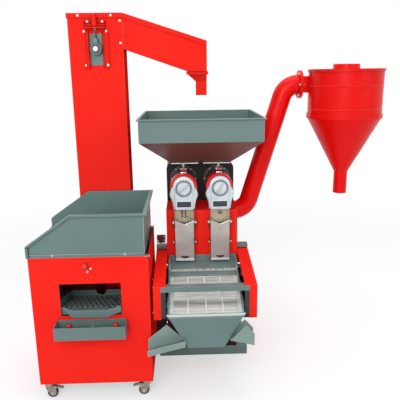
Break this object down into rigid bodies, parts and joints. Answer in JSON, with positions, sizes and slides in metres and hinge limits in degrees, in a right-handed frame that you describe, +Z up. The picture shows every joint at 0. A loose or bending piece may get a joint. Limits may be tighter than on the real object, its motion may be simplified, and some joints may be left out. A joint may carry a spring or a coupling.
{
  "type": "grain cleaning and milling station",
  "caption": "Grain cleaner cabinet with bucket elevator feeding a hopper over twin milling heads, a shaking sieve below, and a bran pipe to a cyclone.",
  "frame": {"origin": "on the floor, under the middle of the whole station", "axes": "+X to the operator's right, +Y away from the operator, +Z up"},
  "size_m": [1.718, 0.87, 1.75],
  "materials": {
    "red_paint": "semi-gloss powder coat",
    "grey_paint": "grey-green powder coat",
    "black_paint": "satin black",
    "cast_cover": "silver painted casting",
    "stainless": "brushed stainless sheet",
    "steel": "turned and zinc-plated steel",
    "dial_face": "white face with dark ring",
    "rubber": "black rubber",
    "wheel_tread": "black tread",
    "plastic": "moulded plastic"
  },
  "bodies": {
    "station": {"mill_base_frame": "grey_paint", "mill_housing": "red_paint", "mill_hood": "black_paint", "main_hopper": "grey_paint", "mill_barrels": "red_paint", "mill_noses": "red_paint", "dial_cover_left": "cast_cover", "dial_cover_right": "cast_cover", "discharge_chutes": "stainless", "motor": "black_paint", "belt_guard": "red_paint", "drive_belts": "rubber", "blower_housing": "black_paint", "conveying_pipe": "red_paint", "cyclone_barrel": "red_paint", "cyclone_lid": "red_paint", "cyclone_cone": "red_paint", "sieve_arm_left": "red_paint", "sieve_arm_right": "red_paint", "sieve_cross_bar": "grey_paint", "sieve_springs": "rubber", "panel_bolts": "steel", "cabinet_body": "red_paint", "cabinet_frame": "grey_paint", "feed_hopper": "grey_paint", "stone_tray": "grey_paint", "tray_knobs": "plastic", "elevator_column": "red_paint", "elevator_head_chute": "red_paint", "elevator_top_cover": "red_paint", "elevator_spout": "red_paint", "takeup_rails": "red_paint", "bucket_belt": "rubber", "caster_mounts": "black_paint"},
    "fork_left": {"front_caster_fork_left": "black_paint"},
    "fork_right": {"front_caster_fork_right": "black_paint"},
    "front_wheel_left": {"front_caster_wheel_left": "wheel_tread"},
    "front_wheel_right": {"front_caster_wheel_right": "wheel_tread"},
    "brake_left": {"front_caster_brake_left": "plastic"},
    "brake_right": {"front_caster_brake_right": "plastic"},
    "rear_wheel_left": {"rear_caster_wheel_left": "wheel_tread"},
    "rear_wheel_right": {"rear_caster_wheel_right": "wheel_tread"},
    "feed_slide": {"feed_gate": "grey_paint"},
    "gate_left": {"hopper_gate_left": "grey_paint"},
    "gate_right": {"hopper_gate_right": "grey_paint"},
    "dial_l": {"dial_left": "dial_face"},
    "dial_r": {"dial_right": "dial_face"},
    "rotor_left": {"mill_rotor_left": "steel"},
    "rotor_right": {"mill_rotor_right": "steel"},
    "motor_shaft": {"motor_pulley": "steel"},
    "fan": {"blower_impeller": "steel"},
    "takeup": {"takeup_blocks": "grey_paint"},
    "head_drum": {"head_pulley": "steel"},
    "boot_drum": {"boot_pulley": "steel"},
    "deck": {"deck_frame": "grey_paint", "deck_screen": "stainless"},
    "sieve": {"sieve_tray": "grey_paint", "sieve_mesh": "stainless", "sieve_funnel": "grey_paint", "sieve_side_chutes": "grey_paint"}
  },
  "joints": [
    {"name": "left_caster_swivel", "type": "hinge", "parent": "station", "child": "fork_left", "pos_m": [-0.823, -0.324, 0.06], "axis": [0, 0, 1], "continuous": true},
    {"name": "right_caster_swivel", "type": "hinge", "parent": "station", "child": "fork_right", "pos_m": [-0.367, -0.324, 0.06], "axis": [0, 0, 1], "continuous": true},
    {"name": "front_left_wheel_roll", "type": "hinge", "parent": "fork_left", "child": "front_wheel_left", "pos_m": [-0.809, -0.324, 0.025], "axis": [0, 1, 0], "continuous": true},
    {"name": "front_right_wheel_roll", "type": "hinge", "parent": "fork_right", "child": "front_wheel_right", "pos_m": [-0.381, -0.324, 0.025], "axis": [0, 1, 0], "continuous": true},
    {"name": "left_brake", "type": "hinge", "parent": "fork_left", "child": "brake_left", "pos_m": [-0.797, -0.324, 0.054], "axis": [0, 1, 0], "range_deg": [0, 20]},
    {"name": "right_brake", "type": "hinge", "parent": "fork_right", "child": "brake_right", "pos_m": [-0.393, -0.324, 0.054], "axis": [0, -1, 0], "range_deg": [0, 20]},
    {"name": "rear_left_wheel_roll", "type": "hinge", "parent": "station", "child": "rear_wheel_left", "pos_m": [-0.823, 0.052, 0.025], "axis": [1, 0, 0], "continuous": true},
    {"name": "rear_right_wheel_roll", "type": "hinge", "parent": "station", "child": "rear_wheel_right", "pos_m": [-0.367, 0.052, 0.025], "axis": [1, 0, 0], "continuous": true},
    {"name": "feed_gate_slide", "type": "slide", "parent": "station", "child": "feed_slide", "axis": [0, -1, 0], "range_m": [0, 0.08]},
    {"name": "left_gate_slide", "type": "slide", "parent": "station", "child": "gate_left", "axis": [0, -1, 0], "range_m": [0, 0.09]},
    {"name": "right_gate_slide", "type": "slide", "parent": "station", "child": "gate_right", "axis": [0, -1, 0], "range_m": [0, 0.09]},
    {"name": "left_dial_turn", "type": "hinge", "parent": "station", "child": "dial_l", "pos_m": [-0.175, -0.059, 0.933], "axis": [0, 1, 0], "range_deg": [-150, 150]},
    {"name": "right_dial_turn", "type": "hinge", "parent": "station", "child": "dial_r", "pos_m": [0.001, -0.059, 0.933], "axis": [0, 1, 0], "range_deg": [-150, 150]},
    {"name": "motor_spin", "type": "hinge", "parent": "station", "child": "motor_shaft", "pos_m": [-0.087, 0.38, 0.16], "axis": [0, 1, 0], "continuous": true},
    {"name": "left_rotor_spin", "type": "hinge", "parent": "station", "child": "rotor_left", "pos_m": [-0.175, 0.38, 0.93], "axis": [0, 1, 0], "continuous": true},
    {"name": "right_rotor_spin", "type": "hinge", "parent": "station", "child": "rotor_right", "pos_m": [0.001, 0.38, 0.93], "axis": [0, 1, 0], "continuous": true},
    {"name": "fan_spin", "type": "hinge", "parent": "station", "child": "fan", "pos_m": [-0.087, 0.4, 0.65], "axis": [0, 1, 0], "continuous": true},
    {"name": "takeup_slide", "type": "slide", "parent": "station", "child": "takeup", "axis": [0, 0, 1], "range_m": [-0.015, 0.015], "deforming": ["bucket_belt"]},
    {"name": "head_drum_spin", "type": "hinge", "parent": "takeup", "child": "head_drum", "pos_m": [-0.5755, 0.153, 1.588], "axis": [0, 1, 0], "continuous": true},
    {"name": "boot_drum_spin", "type": "hinge", "parent": "station", "child": "boot_drum", "pos_m": [-0.5755, 0.153, 0.18], "axis": [0, 1, 0], "continuous": true},
    {"name": "deck_shake", "type": "slide", "parent": "station", "child": "deck", "axis": [0, 1, 0], "range_m": [-0.006, 0.006]},
    {"name": "sieve_shake", "type": "slide", "parent": "station", "child": "sieve", "axis": [0, 1, 0], "range_m": [-0.005, 0.005]}
  ],
  "couplings": [
    {"joint": "left_rotor_spin", "follows": "motor_spin", "ratio": 1},
    {"joint": "right_rotor_spin", "follows": "motor_spin", "ratio": 1},
    {"joint": "fan_spin", "follows": "motor_spin", "ratio": 1.3333},
    {"joint": "boot_drum_spin", "follows": "head_drum_spin", "ratio": 1}
  ]
}
